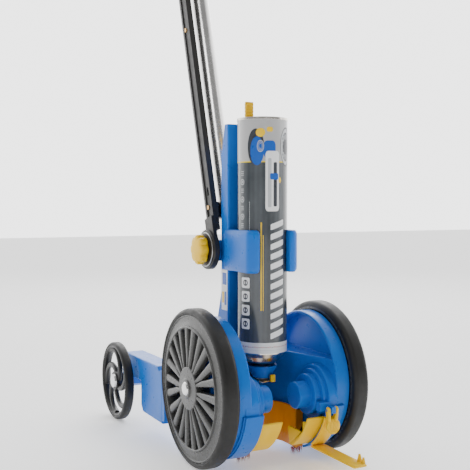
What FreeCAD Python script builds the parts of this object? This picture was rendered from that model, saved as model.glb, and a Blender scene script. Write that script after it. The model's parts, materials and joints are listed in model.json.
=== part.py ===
import FreeCAD, Part
import Sketcher
import os
import re
from FreeCAD import Placement, Rotation, Vector

# A push-along line striping machine: two spoked front wheels, two small rear wheels,
# a moulded chassis, a mast that cradles an upside-down paint can, and a folding handle.
# Millimetres. +Z is up and -Y is the front. The origin is on the floor, below the
# middle of the front wheels' axis. A handle part is drawn upright about the fold axis
# and then leaned back; a grip part is drawn upright about the grip and then leaned on.

DIMENSIONS = {
    # front wheels
    "wheel_radius": 100, "wheel_track": 91, "tyre_width": 22, "tyre_round": 6,
    "rim_radius": 92, "spoke_outer": 75, "spoke_inner": 26, "spoke_pairs": 11,
    "rim_dome": 4, "boss_radius": 12, "cap_radius": 8.7, "axle_radius": 5,
    # rear wheels
    "rear_radius": 59, "rear_axle_y": 263, "rear_track": 108, "rear_width": 14,
    "rear_opening": 50, "rear_hub_radius": 14, "rear_spokes": 5, "rear_round": 4,
    "bow_radius": 31, "bow_reach": 23, "bow_wall": 7,
    # running fits, gaps and the radii of moulded edges
    "play": 0.05, "gap": 0.5, "edge_round": 2.5, "boss_round": 2, "clip_corner": 14,
    "pin_radius": 2,
    # wheel guards and chassis
    "guard_radius": 88, "guard_inner_x": 60, "guard_outer_x": 78.5, "guard_wall": 3.5,
    "ledge_height": 135, "back_wall_y": 44, "back_face_y": 62, "bridge_half": 27,
    "boss_axis_y": -50, "boss_axis_z": 88.5,
    "skirt_inner_x": 45, "skirt_wall": 3, "skirt_start": 13, "skirt_sweep": 57,
    # rear arms
    "arm_inner_x": 66, "arm_outer_x": 95, "arm_front_y": 112, "arm_heel_y": 195,
    "arm_top": 102, "arm_bottom": 26, "tail_bottom": 70, "rear_axle_z": 59,
    # mast and clip
    "mast_half": 34, "mast_front_y": 28, "mast_rear_y": 50, "mast_top": 436,
    "mast_wall": 3, "slider_y": 32.2, "mast_taper_z": 392, "mast_taper_y": 40, "lip_half": 12,
    "clip_low": 244, "clip_high": 298, "clip_half": 37, "clip_front_y": -38,
    "clip_back_y": 36, "clip_mouth": 21.5,
    # paint can
    "can_radius": 32.5, "can_y": -3, "can_low": 140, "can_high": 441, "can_wall": 0.8,
    "cup_top": 121.6, "cup_low": 106, "cup_top_radius": 20, "cup_low_radius": 12.5,
    "strip_drop": 3,
    # spray shields, shroud and brushes
    "shield_radius": 89, "shield_wall": 3, "shield_start": 23, "shield_sweep": 38,
    "shield_width": 38, "left_shield_x": 14, "right_shield_x": 21,
    "shroud_radius": 38, "shroud_wall": 3, "shroud_low": 14, "shroud_top": 66,
    "shroud_front_y": -30, "flange_half": 48,
    # pointer
    "pointer_y": -94.5, "pointer_z": 77, "pointer_x": 41, "pointer_width": 20,
    "pointer_wall": 3, "pointer_tip_y": -152, "pointer_low": 20.5, "ear_wall": 4,
    "ear_space": 7, "thumb_x": 50.5, "thumb_z": 56, "thumb_radius": 10,
    # handle
    "fold_y": 65, "fold_z": 270, "lean": 16.6, "hub_radius": 27, "hub_face_x": 41,
    "hub_wall": 8.2, "hub_depth": 10.7,
    "shank_half": 11.25, "shank_wall": 8, "shank_x": 43.5, "shank_y": -13, "shank_top": 430,
    "tube_radius": 12.5, "tube_wall": 1.5, "tube_x": 11, "tube_back": -4,
    "tube_low": 16, "tube_top": 700, "grip_lean": 55, "grip_radius": 15,
    "grip_length": 125, "sleeve_radius": 18, "trigger_rest": 12, "trigger_pivot": 24, "trigger_up": 13,
    "knob_radius": 17.5, "knob_low_x": 52.1, "knob_high_x": 65.2, "knob_lobes": 8,
    "lobe_radius": 4.6, "bolt_radius": 5,
}

doc = FreeCAD.newDocument("line_striping_machine")
sheet = doc.addObject("Spreadsheet::Sheet", "dims")
for row, (alias, number) in enumerate(DIMENSIONS.items(), start=1):
    sheet.set(f"A{row}", alias)
    sheet.set(f"B{row}", str(number))
    sheet.setAlias(f"B{row}", alias)
doc.recompute()

AXIS_TURN = {
    # a cylinder's zero angle is at the top for Z and Y, and at the front for X
    "X": Rotation(Vector(0, -1, 0), Vector(0, 0, -1), Vector(1, 0, 0), "ZXY"),
    "Y": Rotation(Vector(1, 0, 0), -90),
    "Z": Rotation(),
}
UPRIGHT = Rotation()


def size(alias):
    """The number held in one cell of the sheet."""
    return float(sheet.get(alias))


def formula(text):
    """A formula in which each word that names a cell points at that cell."""
    def cell(match):
        word = match.group(0)
        return "dims." + word if word in DIMENSIONS else word
    return re.sub(r"[a-z][a-z_]*", cell, str(text))


def bind(thing, prop, text):
    thing.setExpression(prop, formula(text))


def put(thing, where, turn=UPRIGHT):
    """Place an object: turn is a rotation and where holds three formulas."""
    thing.Placement = Placement(Vector(0, 0, 0), turn)
    for axis, text in zip("xyz", where):
        bind(thing, "Placement.Base." + axis, text)
    return thing


def box(name, x, y, z):
    solid = doc.addObject("Part::Box", name)
    for side, (low, high) in zip(("Length", "Width", "Height"), (x, y, z)):
        bind(solid, side, f"({high}) - ({low})")
    return put(solid, (x[0], y[0], z[0]))


def along(axis, low, centre):
    """The base point of a round solid that runs along one axis from low."""
    first, second = centre
    return {"X": (low, first, second), "Y": (first, low, second),
            "Z": (first, second, low)}[axis]


def cylinder(name, axis, radius, span, centre, start=0, sweep=None):
    low, high = span
    solid = doc.addObject("Part::Cylinder", name)
    bind(solid, "Radius", radius)
    bind(solid, "Height", f"({high}) - ({low})")
    if sweep is not None:
        bind(solid, "Angle", sweep)
    turn = AXIS_TURN[axis].multiply(Rotation(Vector(0, 0, 1), start))
    return put(solid, along(axis, low, centre), turn)


def cone(name, axis, radii, span, centre):
    low, high = span
    solid = doc.addObject("Part::Cone", name)
    bind(solid, "Radius1", radii[0])
    bind(solid, "Radius2", radii[1])
    bind(solid, "Height", f"({high}) - ({low})")
    return put(solid, along(axis, low, centre), AXIS_TURN[axis])


def fuse(name, *solids):
    union = doc.addObject("Part::MultiFuse", name)
    union.Shapes = list(solids)
    union.Refine = True
    return union


def group(name, *solids):
    """Separate solids that share one node."""
    bundle = doc.addObject("Part::Compound", name)
    bundle.Links = list(solids)
    return bundle


def cut(name, base, *tools):
    tool = tools[0] if len(tools) == 1 else fuse(name + "_tools", *tools)
    part = doc.addObject("Part::Cut", name)
    part.Base = base
    part.Tool = tool
    part.Refine = True
    return part


def common(name, *solids):
    part = doc.addObject("Part::MultiCommon", name)
    part.Shapes = list(solids)
    return part


def tube(name, axis, outer, inner, span, centre, start=0, sweep=None):
    """A ring, or a stretch of one, about an axis."""
    return cut(name, cylinder(name + "_outer", axis, outer, span, centre, start, sweep),
               cylinder(name + "_inner", axis, inner, span, centre))


def mirror(name, source):
    part = doc.addObject("Part::Mirroring", name)
    part.Source = source
    part.Normal = Vector(1, 0, 0)
    return part


def plane(body, role):
    return [(item, "") for item in body.Origin.OriginFeatures if item.Role == role]


def outline(body, name, role, loops, offset="0"):
    """A sketch of closed loops whose corners are pairs of formulas."""
    sketch = body.newObject("Sketcher::SketchObject", name)
    sketch.AttachmentSupport = plane(body, role)
    sketch.MapMode = "FlatFace"
    bind(sketch, "AttachmentOffset.Base.z", offset)
    for loop in loops:
        first = sketch.GeometryCount
        count = len(loop)
        for step in range(count):
            start = Vector(step, step * step, 0)
            end = Vector(step + 1, (step + 1) ** 2, 0)
            sketch.addGeometry(Part.LineSegment(start, end), False)
        for step in range(count):
            follower = first + (step + 1) % count
            sketch.addConstraint(Sketcher.Constraint("Coincident", first + step, 2, follower, 1))
        for step, (across, up) in enumerate(loop):
            for kind, text in (("DistanceX", across), ("DistanceY", up)):
                index = sketch.addConstraint(Sketcher.Constraint(kind, first + step, 1, 1.0))
                bind(sketch, f"Constraints[{index}]", text)
    return sketch


def pad(name, role, loop, span):
    """A straight-sided solid: an outline on an origin plane, raised from low to high."""
    low, high = span
    body = doc.addObject("PartDesign::Body", name)
    sketch = outline(body, name + "_outline", role, [loop], low)
    raised = body.newObject("PartDesign::Pad", name + "_pad")
    raised.Profile = sketch
    bind(raised, "Length", f"({high}) - ({low})")
    return body


def side_plate(name, loop, span):
    """A solid whose outline is seen from the side, as (y, z) corners, wide along X."""
    return pad(name, "YZ_Plane", loop, span)


def spun(name, loop):
    """A turned solid: an outline of (radius, height) corners spun about Z."""
    body = doc.addObject("PartDesign::Body", name)
    sketch = outline(body, name + "_outline", "XZ_Plane", [loop])
    turned = body.newObject("PartDesign::Revolution", name + "_turned")
    turned.Profile = sketch
    turned.ReferenceAxis = (sketch, ["V_Axis"])
    turned.Angle = 360
    return body


def soften(name, body, radius, wanted):
    """Round the body's edges that the test picks out."""
    doc.recompute()
    base = body.Tip
    edges = [f"Edge{number}" for number, edge in enumerate(base.Shape.Edges, start=1)
             if wanted(edge)]
    rounded = body.newObject("PartDesign::Fillet", name)
    rounded.Base = (base, edges)
    bind(rounded, "Radius", radius)
    return body


def round_over(name, base, radius, wanted):
    """Round a boolean solid's edges that the test picks out."""
    doc.recompute()
    rounded = doc.addObject("Part::Fillet", name)
    rounded.Base = base
    rounded.Edges = [(number, size(radius), size(radius))
                     for number, edge in enumerate(base.Shape.Edges, start=1) if wanted(edge)]
    return rounded


def ring_edge(radius):
    """A test for round edges of one radius."""
    def wanted(edge):
        curve = edge.Curve
        return isinstance(curve, Part.Circle) and abs(curve.Radius - radius) < 0.01
    return wanted


def on_face(axis, level):
    """A test for edges that lie flat at one level along an axis."""
    def wanted(edge):
        box_ = edge.BoundBox
        low, high = getattr(box_, axis + "Min"), getattr(box_, axis + "Max")
        return abs(low - level) < 0.01 and abs(high - level) < 0.01
    return wanted


def upright(edge):
    """A test for straight edges that stand parallel to Z."""
    box_ = edge.BoundBox
    return box_.XLength < 0.01 and box_.YLength < 0.01


nodes = {}


def node(name, thing):
    """Keep a finished sub-part under the name of its file."""
    thing.Label = name
    nodes[name] = thing
    return thing


# ---------------------------------------------------------------- wheels

SIDES = {"left": "-", "right": ""}
FACING = {
    # a wheel is drawn lying down, its outer face upwards, and stood on its side
    "left": Rotation(Vector(0, 0, -1), Vector(0, 1, 0), Vector(-1, 0, 0), "ZXY"),
    "right": Rotation(Vector(0, 0, 1), Vector(0, 1, 0), Vector(1, 0, 0), "ZXY"),
}


def tyre(name, radius, inner, width, rounding):
    half = f"({width}) / 2"
    body = spun(name, [(inner, "-" + half), (radius, "-" + half), (radius, half), (inner, half)])
    return soften(name + "_shoulders", body, rounding, ring_edge(size(radius)))


def front_rim(name):
    """A dished rim with pairs of slots that leave V-shaped double spokes."""
    face = "tyre_width / 2 + rim_dome"
    body = spun(name, [
        ("axle_radius + 3", "-9"), ("boss_radius + 3", "-9"), ("boss_radius + 3", "9"),
        ("spoke_inner", "11"), ("spoke_outer", "7"), ("spoke_outer", "-8"),
        ("rim_radius - 3", "-8"), ("rim_radius - 3", "-tyre_width / 2"),
        ("rim_radius", "-tyre_width / 2"), ("rim_radius", "tyre_width / 2 - 3"),
        ("rim_radius - 3", "tyre_width / 2 - 1"), ("spoke_outer + 1", "tyre_width / 2"),
        ("spoke_outer - 1", "tyre_width / 2 + 2"), ("spoke_inner", face),
        ("boss_radius + 2", face + " + 1"), ("boss_radius", face + " + 2"),
        ("axle_radius + 3", face + " + 2")])
    long_gap = [("spoke_inner + 2", "-2.2"), ("spoke_outer - 2", "-4.4"),
                ("spoke_outer - 2", "4.4"), ("spoke_inner + 2", "2.2")]
    turn = "180 / spoke_pairs"
    inner, outer = "(spoke_inner + 20)", "(spoke_outer - 2)"
    short_gap = [(f"{reach} * cos({turn}) - {side} * sin({turn})",
                  f"{reach} * sin({turn}) + {side} * cos({turn})")
                 for reach, side in ((inner, "-0.5"), (outer, "-4"), (outer, "4"), (inner, "0.5"))]
    slots = outline(body, name + "_slots", "XY_Plane", [long_gap, short_gap], "30")
    pocket = body.newObject("PartDesign::Pocket", name + "_pocket")
    pocket.Profile = slots
    pocket.Length = 60
    ring = body.newObject("PartDesign::PolarPattern", name + "_pattern")
    ring.Originals = [pocket]
    ring.Axis = (plane(body, "Z_Axis")[0][0], [""])
    ring.Angle = 360
    bind(ring, "Occurrences", "spoke_pairs")
    body.Tip = ring
    return body


def rear_rim(name):
    """A plain rim and hub joined by curved spokes."""
    disc = tube(name + "_disc", "Z", "rear_opening", "rear_hub_radius - 1", ("-3", "4"), ("0", "0"))
    ring = tube(name + "_ring", "Z", "rear_radius - 5", "rear_opening - 2",
                ("-rear_width / 2 + 1", "rear_width / 2 - 1"), ("0", "0"))
    hub = tube(name + "_hub", "Z", "rear_hub_radius", "axle_radius + play",
               ("-rear_width / 2", "rear_width / 2 - 2"), ("0", "0"))
    count = int(size("rear_spokes"))
    spokes = []
    for number in range(count):
        angle = 360 * number / count
        turn = Rotation(Vector(0, 0, 1), angle)
        bow = tube(f"{name}_bow_{number}", "Z", "bow_radius", "bow_radius - bow_wall", ("-3", "4"),
                   ("0", "0"))
        bow.Placement = Placement(turn.multVec(Vector(size("bow_reach"), 0, 0)), turn)
        half = cylinder(f"{name}_half_{number}", "Z", "rear_radius", ("-4", "5"), ("0", "0"),
                        angle + 180, "180")
        spokes.append(common(f"{name}_spoke_{number}", bow, half, disc))
    return fuse(name, ring, hub, *spokes)


hub_face = "tyre_width / 2 + rim_dome"
for side, sign in SIDES.items():
    turn = FACING[side]
    centre = (sign + "wheel_track", "0", "wheel_radius")
    wheel = tyre(f"{side}_front_tyre", "wheel_radius", "rim_radius", "tyre_width", "tyre_round")
    node(f"{side}_front_tyre", put(wheel, centre, turn))
    node(f"{side}_front_rim", put(front_rim(f"{side}_front_rim"), centre, turn))
    bush = tube(f"{side}_front_bush", "Z", "axle_radius + 3", "axle_radius + play",
                ("-9", hub_face), ("0", "0"))
    node(f"{side}_front_bush", put(bush, centre, turn))
    cap = spun(f"{side}_front_cap", [
        ("0", hub_face + " + 1"), ("axle_radius + 3", hub_face + " + 1"),
        ("axle_radius + 3", hub_face + " + 2"), ("cap_radius", hub_face + " + 2"),
        ("cap_radius - 1.5", hub_face + " + 3.6"), ("0", hub_face + " + 4.4")])
    node(f"{side}_front_cap", put(cap, centre, turn))
    axle = cylinder(f"{side}_front_axle", "Z", "axle_radius",
                    ("-wheel_track + guard_inner_x + 2", hub_face + " + 0.5"), ("0", "0"))
    node(f"{side}_front_axle", put(group(f"{side}_front_axle_set", axle), centre, turn))

    centre = (sign + "rear_track", "rear_axle_y", "rear_axle_z")
    wheel = tyre(f"{side}_rear_tyre", "rear_radius", "rear_radius - 5", "rear_width", "rear_round - 1")
    node(f"{side}_rear_tyre", put(wheel, centre, turn))
    node(f"{side}_rear_rim", put(rear_rim(f"{side}_rear_rim"), centre, turn))
    cap = spun(f"{side}_rear_cap", [
        ("0", "rear_width / 2 - 2"), ("rear_hub_radius - 3", "rear_width / 2 - 2"),
        ("rear_hub_radius - 4", "rear_width / 2 + 1"), ("0", "rear_width / 2 + 2")])
    node(f"{side}_rear_cap", put(cap, centre, turn))
    axle = cylinder(f"{side}_rear_axle", "Z", "axle_radius",
                    ("-rear_track + arm_inner_x + 6", "rear_width / 2 - 3"), ("0", "0"))
    node(f"{side}_rear_axle", put(group(f"{side}_rear_axle_set", axle), centre, turn))

# ---------------------------------------------------------------- chassis


# each step of a boss: its radius and how near its face comes to the middle plane
BOSS_STEPS = ((17, 19.3), (26, 36), (32, 44), (37.5, 49))


def guard(name):
    """The right-hand wheel guard: a shallow drum, a thick lower body and its bosses."""
    centre = ("0", "wheel_radius")
    drum = round_over(name + "_drum_round", cylinder(
        name + "_drum", "X", "guard_radius", ("guard_inner_x", "guard_outer_x"), centre),
        "boss_round", on_face("X", size("guard_inner_x")))
    plan = pad(name + "_plan", "XY_Plane", [
        ("guard_outer_x", "-95"), ("guard_inner_x + 6", "-95"), ("guard_inner_x + 6", "-83"),
        ("41", "0"), ("bridge_half", "40"), ("bridge_half", "back_face_y"),
        ("guard_outer_x", "back_face_y")], ("0", "ledge_height"))
    soften(name + "_ledge", plan, "edge_round", on_face("Z", size("ledge_height")))
    lower = common(name + "_lower", plan, cylinder(name + "_round", "X", "guard_radius",
                                                   ("20", "guard_outer_x"), centre))
    bosses = [round_over(f"{name}_boss_{number}", cylinder(
        f"{name}_step_{number}", "X", radius, (face, "guard_inner_x + 8"),
        ("boss_axis_y", "boss_axis_z")), "boss_round", on_face("X", face))
        for number, (radius, face) in enumerate(BOSS_STEPS)]
    upper = common(name + "_recess", cylinder(
        name + "_recess_round", "X", "guard_radius - guard_wall",
        ("guard_inner_x - 1", "guard_outer_x - guard_wall"), centre),
        box(name + "_recess_box", ("0", "wheel_radius"), ("-90", "90"), ("ledge_height", "200")))
    hollow_plan = pad(name + "_hollow_plan", "XY_Plane", [
        ("guard_outer_x + 1", "-80"), ("guard_inner_x + 14", "-80"),
        ("41 + guard_wall + 1", "0"), ("bridge_half + guard_wall", "41"),
        ("bridge_half + guard_wall", "back_face_y - guard_wall"),
        ("guard_outer_x + 1", "back_face_y - guard_wall")], ("0", "ledge_height - guard_wall"))
    hollow = cut(name + "_hollow", common(
        name + "_hollow_lower", hollow_plan,
        cylinder(name + "_hollow_round", "X", "shield_radius - shield_wall - gap - 2",
                 ("20", "guard_outer_x + 1"), centre)),
        cylinder(name + "_axle_boss", "X", "axle_radius + 9", ("20", "90"), centre))
    skirt = tube(name + "_skirt", "X", "shield_radius + gap + skirt_wall", "shield_radius + gap",
                 ("skirt_inner_x", "guard_inner_x + 9"), centre, size("skirt_start"), "skirt_sweep")
    groove = tube(name + "_groove", "X", "shield_radius + gap", "shield_radius - shield_wall - gap",
                  ("30", "guard_inner_x + 8"), centre, size("shield_start") - 6, "shield_sweep + 12")
    skirt_web = tube(name + "_skirt_web", "X", "shield_radius + gap + 1", "guard_radius - 1",
                     ("guard_inner_x + 8", "guard_inner_x + 11"), centre, size("skirt_start"), "skirt_sweep")
    tail = box(name + "_tail", ("arm_inner_x - 4", "guard_outer_x"), ("50", "arm_front_y"),
               ("31", "arm_top - 6"))
    tail_end = box(name + "_tail_end", ("arm_inner_x - 4", "arm_outer_x"),
                   ("wheel_radius + 3", "arm_front_y"), ("31", "arm_top - 6"))
    axle_hole = cylinder(name + "_axle_hole", "X", "axle_radius", ("guard_inner_x + 2", "90"), centre)
    body = cut(name + "_body", fuse(name + "_mass", drum, lower, *bosses), upper, groove)
    boss = cylinder(name + "_stub", "X", "axle_radius + 9", ("guard_inner_x + 2", "guard_outer_x"), centre)
    return cut(name, fuse(name + "_whole", cut(name + "_shell", body, hollow), skirt, skirt_web, boss,
                          tail, tail_end), axle_hole)


plain_guard = guard("plain_guard")
node("left_guard", mirror("left_guard", plain_guard))
lug = fuse("pointer_lug", box("lug_plate", ("36", "62"), ("-87", "-78"), ("74", "85")),
           box("lug_eye", ("pointer_x + ear_wall + gap", "pointer_x + ear_wall + ear_space - gap"),
               ("pointer_y - 4", "-84"), ("pointer_z - 4", "pointer_z + 4")))
node("right_guard", cut("right_guard", fuse("right_guard_whole", plain_guard, lug), cylinder(
    "lug_hole", "X", "pin_radius", ("pointer_x", "pointer_x + 20"), ("pointer_y", "pointer_z"))))
node("pointer_pin", cylinder("pointer_pin", "X", "pin_radius", (
    "pointer_x - 1", "pointer_x + 2 * ear_wall + ear_space + 1"), ("pointer_y", "pointer_z")))
node("centre_bridge", fuse(
    "centre_bridge",
    box("bridge_wall", ("-bridge_half", "bridge_half"), ("back_wall_y", "back_face_y"),
        ("shroud_top + 1", "ledge_height")),
    box("bridge_shelf", ("-bridge_half", "bridge_half"), ("back_wall_y", "back_face_y"),
        ("shroud_top - 16", "shroud_top + 2"))))


def rear_arm(name):
    """The right-hand rear arm: a deep box with a slim tail that carries the wheel."""
    deep = side_plate(name + "_deep", [
        ("arm_front_y", "arm_bottom"), ("arm_heel_y - 8", "arm_bottom"), ("arm_heel_y", "arm_bottom + 9"),
        ("arm_heel_y", "tail_bottom"), ("rear_axle_y", "tail_bottom"), ("rear_axle_y", "arm_top"),
        ("arm_front_y + 16", "arm_top + 2"), ("arm_front_y + 10", "arm_top - 3"),
        ("arm_front_y", "arm_top - 3")], ("arm_inner_x", "arm_outer_x"))
    soften(name + "_edges", deep, "boss_round", on_face("X", size("arm_outer_x")))
    end = cylinder(name + "_end", "X", "(arm_top - tail_bottom) / 2", ("arm_inner_x", "arm_outer_x"),
                   ("rear_axle_y", "(arm_top + tail_bottom) / 2"))
    hanger = side_plate(name + "_hanger", [
        ("rear_axle_y - 14", "tail_bottom + 4"), ("rear_axle_y - 9", "rear_axle_z - 6"),
        ("rear_axle_y", "rear_axle_z - 11"), ("rear_axle_y + 9", "rear_axle_z - 6"),
        ("rear_axle_y + 14", "tail_bottom + 4")], ("arm_inner_x + 4", "arm_outer_x"))
    inside = box(name + "_inside", ("arm_inner_x + 3", "arm_outer_x - 4"),
                 ("arm_front_y + 4", "arm_heel_y - 4"), ("arm_bottom + 6", "arm_top - 7"))
    hole = cylinder(name + "_hole", "X", "axle_radius", ("arm_inner_x", "arm_outer_x + 2"),
                    ("rear_axle_y", "rear_axle_z"))
    return cut(name, fuse(name + "_mass", deep, end, hanger), inside, hole)


right_arm = node("right_rear_arm", rear_arm("right_rear_arm"))
node("left_rear_arm", mirror("left_rear_arm", right_arm))


def mirrored_set(name, *solids):
    """Some right-hand solids together with their left-hand copies."""
    return group(name, *solids, *[mirror(f"{name}_left_{number}", solid)
                                  for number, solid in enumerate(solids)])


ARM_SCREWS = (("98", "45"), ("98", "82"))
node("arm_screws", mirrored_set("arm_screws", *[
    cylinder(f"arm_screw_{number}", "X", "4", ("arm_inner_x - 6.5", "arm_inner_x - 4"), place)
    for number, place in enumerate(ARM_SCREWS)]))

# ---------------------------------------------------------------- mast, clip and cup

mast_outside = side_plate("mast_outside", [
    ("mast_front_y", "ledge_height"), ("mast_rear_y + 24", "ledge_height"),
    ("mast_rear_y + 24", "ledge_height + 6"), ("mast_rear_y", "215"), ("mast_rear_y", "mast_taper_z"),
    ("mast_taper_y", "mast_top"), ("mast_front_y", "mast_top")], ("-mast_half", "mast_half"))
soften("mast_edges", mast_outside, "edge_round", lambda edge: edge.BoundBox.XLength < 0.01
       and edge.BoundBox.ZLength > 20)
mast_channel = side_plate("mast_channel", [
    ("mast_front_y + mast_wall", "ledge_height - 1"), ("mast_rear_y - mast_wall", "ledge_height - 1"),
    ("mast_rear_y - mast_wall", "mast_taper_z - 3"), ("mast_taper_y - 3.5", "mast_top + 1"),
    ("mast_front_y + mast_wall", "mast_top + 1")],
    ("-mast_half + mast_wall", "mast_half - mast_wall"))
mast_back = box("mast_back", ("-mast_half + mast_wall", "mast_half - mast_wall"),
                ("mast_rear_y", "mast_rear_y + 30"), ("ledge_height + 5", "220"))
mast_mouth = box("mast_mouth", ("-lip_half", "lip_half"), ("mast_front_y - 1", "mast_front_y + 4"),
                 ("ledge_height - 1", "mast_top + 1"))
mast_slot = box("mast_slot", ("-tube_x - 6", "7"), ("mast_rear_y - 8", "mast_rear_y + 1"), ("292", "318"))
node("mast", cut("mast", mast_outside, mast_channel, mast_back, mast_mouth, mast_slot))
node("mast_screws", group("mast_screws", *[
    cylinder(f"mast_screw_{number}", "Z", "4", ("ledge_height + 5", "ledge_height + 8"), (x, "66"))
    for number, x in enumerate(("-20", "20"))]))

clip_block = box("clip_block", ("-clip_half", "clip_half"), ("clip_front_y", "clip_back_y"),
                 ("clip_low", "clip_high"))


clip_front = round_over("clip_front", clip_block, "clip_corner", lambda edge: upright(edge)
                        and edge.BoundBox.YMax < 0)
clip_round = round_over("clip_round", clip_front, "edge_round", lambda edge: not upright(edge)
                        and edge.BoundBox.YMin < size("clip_back_y") - 1)
clip_bore = cylinder("clip_bore", "Z", "can_radius + gap", ("clip_low - 1", "clip_high + 1"),
                     ("0", "can_y"))
clip_mast = box("clip_mast", ("-mast_half", "mast_half"), ("mast_front_y", "clip_back_y + 1"),
                ("clip_low - 1", "clip_high + 1"))
clip_throat = box("clip_throat", ("-lip_half", "lip_half"), ("0", "mast_front_y + 1"),
                  ("clip_low - 1", "clip_high + 1"))
clip_mouth = box("clip_mouth", ("-clip_mouth", "clip_mouth"), ("clip_front_y - 1", "-10"),
                 ("clip_low - 1", "clip_high + 1"))
clip_left_half = box("clip_left_half", ("-clip_half", "0"), ("clip_front_y", "clip_back_y"),
                     ("clip_low", "clip_high"))
left_jaw = node("left_clip_jaw", common("left_clip_jaw", clip_left_half, cut(
    "clip_pair", clip_round, clip_bore, clip_mast, clip_throat, clip_mouth)))
node("right_clip_jaw", mirror("right_clip_jaw", left_jaw))
node("pivot_bracket", fuse(
    "pivot_bracket",
    box("bracket_block", ("-hub_face_x + gap", "-25"), ("mast_rear_y", "fold_y + 10"),
        ("fold_z - 15", "fold_z + 13")),
    cylinder("bracket_boss", "X", "13", ("-hub_face_x + gap", "-mast_half"), ("fold_y", "fold_z"))))
node("pivot_bolt", cylinder("pivot_bolt", "X", "bolt_radius", ("-knob_high_x + 3", "-hub_face_x + gap"),
                            ("fold_y", "fold_z")))

cup_shell = cut("cup_shell", cone("cup_cone", "Z", ("cup_low_radius", "cup_top_radius"),
                                  ("cup_low", "cup_top"), ("0", "can_y")),
                cone("cup_hollow", "Z", ("cup_low_radius - 3.5", "cup_top_radius - 2.5"),
                     ("cup_low + 1.5", "cup_top + 0.5"), ("0", "can_y")),
                cylinder("cup_hole", "Z", "8.5", ("cup_low - 1", "cup_top"), ("0", "can_y")))
cup_arm = cut("cup_arm", box("cup_bar", ("-15", "15"), ("can_y + 14", "back_wall_y"),
                             ("cup_low + 6", "cup_low + 12")),
              box("cup_arm_slot", ("-8", "8"), ("slider_y - 1", "back_wall_y + 1"), ("cup_low", "cup_top")),
              cylinder("cup_arm_round", "Z", "15", ("cup_low", "cup_top"), ("0", "can_y")))
cup_hook = box("cup_hook", ("cup_top_radius - 2.5", "cup_top_radius + 2"), ("can_y", "can_y + 6"), ("cup_low + 9", "cup_top"))
node("nozzle_cup", fuse("nozzle_cup", cup_shell, cup_arm, cup_hook))

# ---------------------------------------------------------------- trigger slider

slider_strip = box("slider_strip", ("-5.5", "5.5"), ("slider_y", "slider_y + 3"), ("cup_low - strip_drop", "467"))
slider_tab = box("slider_tab", ("-tube_x - 3", "5.5"), ("slider_y + 1", "mast_rear_y + 2"), ("294", "300"))
slider_ribs = [box(f"slider_rib_{number}", ("-5.5", "5.5"), ("slider_y - 1", "slider_y + 4"),
                   (f"440 + {number} * 4.5", f"442 + {number} * 4.5")) for number in range(6)]
node("trigger_slider", fuse("trigger_slider", slider_strip, slider_tab, *slider_ribs))
node("lift_strip", cut("lift_strip", box("strip_plate", ("-7", "8"), ("-20", "slider_y + 3"),
                                         ("cup_low - strip_drop - 1.2", "cup_low - strip_drop")),
                       cylinder("strip_hole", "Z", "4.6", ("100", "110"), ("0", "can_y"))))
node("lift_claw", box("lift_claw", ("2", "8"), ("-24", "-20"), ("cup_low - strip_drop - 1.2", "cup_low + 5")))

# ---------------------------------------------------------------- paint can

can_profile = [("14", "can_low - 18"), ("can_radius - 3", "can_low - 5"), ("can_radius", "can_low"),
               ("can_radius", "can_high - 3"), ("can_radius - can_wall", "can_high - 3"),
               ("can_radius - can_wall", "can_low"), ("can_radius - 3 - can_wall", "can_low - 4"),
               ("14", "can_low - 17")]
node("can_shell", put(spun("can_shell", can_profile), ("0", "can_y", "0")))
node("can_base", put(spun("can_base", [
    ("0", "can_high - 12"), ("can_radius - 4", "can_high - 4"), ("can_radius - 2", "can_high - 3"),
    ("can_radius + 0.3", "can_high - 3"), ("can_radius + 0.3", "can_high"),
    ("can_radius - 3", "can_high"), ("can_radius - 5", "can_high - 3"), ("0", "can_high - 11")]),
    ("0", "can_y", "0")))
node("valve_cup", put(spun("valve_cup", [
    ("5", "can_low - 21"), ("13", "can_low - 21"), ("14", "can_low - 19"), ("14", "can_low - 16"),
    ("12", "can_low - 17"), ("12", "can_low - 19.5"), ("5", "can_low - 19.5")]), ("0", "can_y", "0")))
node("paint_charge", put(spun("paint_charge", [
    ("0", "can_low - 12"), ("12", "can_low - 12"), ("can_radius - 6", "can_low"),
    ("can_radius - 1.5", "can_low + 6"), ("can_radius - 1.5", "can_high - 90"),
    ("0", "can_high - 90")]), ("0", "can_y", "0")))
node("spray_nozzle", put(spun("spray_nozzle", [
    ("0.7", "cup_low - 8"), ("3.6", "cup_low - 8"), ("4.2", "cup_low - strip_drop + 0.3"),
    ("7.5", "cup_low - strip_drop + 0.3"),
    ("7.5", "can_low - 26"), ("3", "can_low - 26"), ("3", "can_low - 17.5"), ("0.7", "can_low - 17.5")]),
    ("0", "can_y", "0")))

# ---------------------------------------------------------------- shields, shroud, brushes


def shield(name, inner_x):
    """A right-hand spray shield: a curved front plate with a fin that turns inwards."""
    centre = ("0", "wheel_radius")
    span = (inner_x, f"{inner_x} + shield_width")
    plate = tube(name + "_plate", "X", "shield_radius", "shield_radius - shield_wall", span, centre,
                 size("shield_start"), "shield_sweep")
    fin = common(name + "_fin", cylinder(name + "_fin_round", "X", "shield_radius - 1",
                                         (inner_x, f"{inner_x} + 2"), centre),
                 fuse(name + "_fin_outline",
                      box(name + "_fin_low", ("0", "60"), ("-80", "-34"), ("22", "46")),
                      box(name + "_fin_high", ("0", "60"), ("-88", "-70"), ("22", "60"))))
    return fuse(name, plate, fin)


node("right_shield", shield("right_shield", "right_shield_x"))
node("left_shield", mirror("left_shield", shield("left_shield_source", "left_shield_x")))


def tunnel(name, radius, front):
    """A block with a half-round back, as the plan of the shroud or of the space inside it."""
    span = ("shroud_low", "shroud_top")
    return fuse(name, cylinder(name + "_back", "Z", radius, span, ("0", "can_y"), 0, "180"),
                box(name + "_front", (f"-({radius})", radius), (front, "can_y"), span))


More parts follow.
